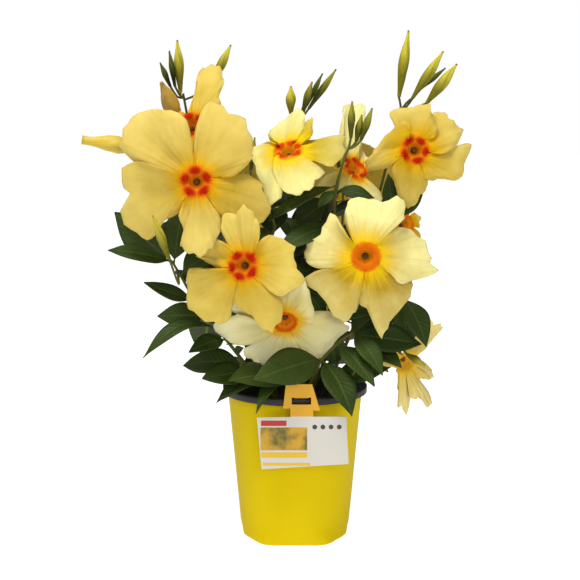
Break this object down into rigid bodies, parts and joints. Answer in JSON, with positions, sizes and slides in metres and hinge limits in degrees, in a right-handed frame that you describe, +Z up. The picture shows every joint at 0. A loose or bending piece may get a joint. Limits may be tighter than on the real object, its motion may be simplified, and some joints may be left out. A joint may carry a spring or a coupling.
{
  "type": "potted calypso dipladenia",
  "caption": "Climbing plant with broad yellow funnel flowers and glossy leaves, in a dark nursery pot inside a tapered yellow plastic pot, with a plain hanging plant label.",
  "frame": {"origin": "centre of the underside of the outer pot, on the surface it stands on", "axes": "+Z up from the pot's foot, -Y towards the side with the label, +X to that side's right"},
  "size_m": [0.3598, 0.2341, 0.4831],
  "materials": {
    "pot_plastic": "satin moulded",
    "nursery_plastic": "matte moulded",
    "potting_soil": "loose crumbs",
    "label_sheet": "printed plastic sheet",
    "foliage": "waxy leaf",
    "golden_petal": "soft petal",
    "cream_petal": "soft petal",
    "faded_petal": "dry petal"
  },
  "bodies": {
    "root": {"bloom_back_left": "golden_petal", "bloom_back_low": "cream_petal", "bloom_back_right": "golden_petal", "bloom_centre_right": "cream_petal", "bloom_cream": "cream_petal", "bloom_far_right": "golden_petal", "bloom_left": "golden_petal", "bloom_low_centre": "golden_petal", "bloom_low_right": "golden_petal", "bloom_right": "golden_petal", "bloom_top_centre": "cream_petal", "bloom_top_right": "golden_petal", "bloom_upper_left": "golden_petal", "closed_flower_left": "faded_petal", "faded_flower_left": "faded_petal", "nursery_pot": "nursery_plastic", "outer_pot": "pot_plastic", "plant_label": "label_sheet", "soil": "potting_soil", "stem_back_left": "foliage", "stem_back_low": "foliage", "stem_back_right": "foliage", "stem_centre": "foliage", "stem_front_left": "foliage", "stem_front_right": "foliage", "stem_low_left": "foliage", "stem_low_right": "foliage", "stem_right": "foliage", "stem_top_centre": "foliage", "stem_upper_left": "foliage", "stem_upper_right": "foliage"}
  },
  "joints": []
}
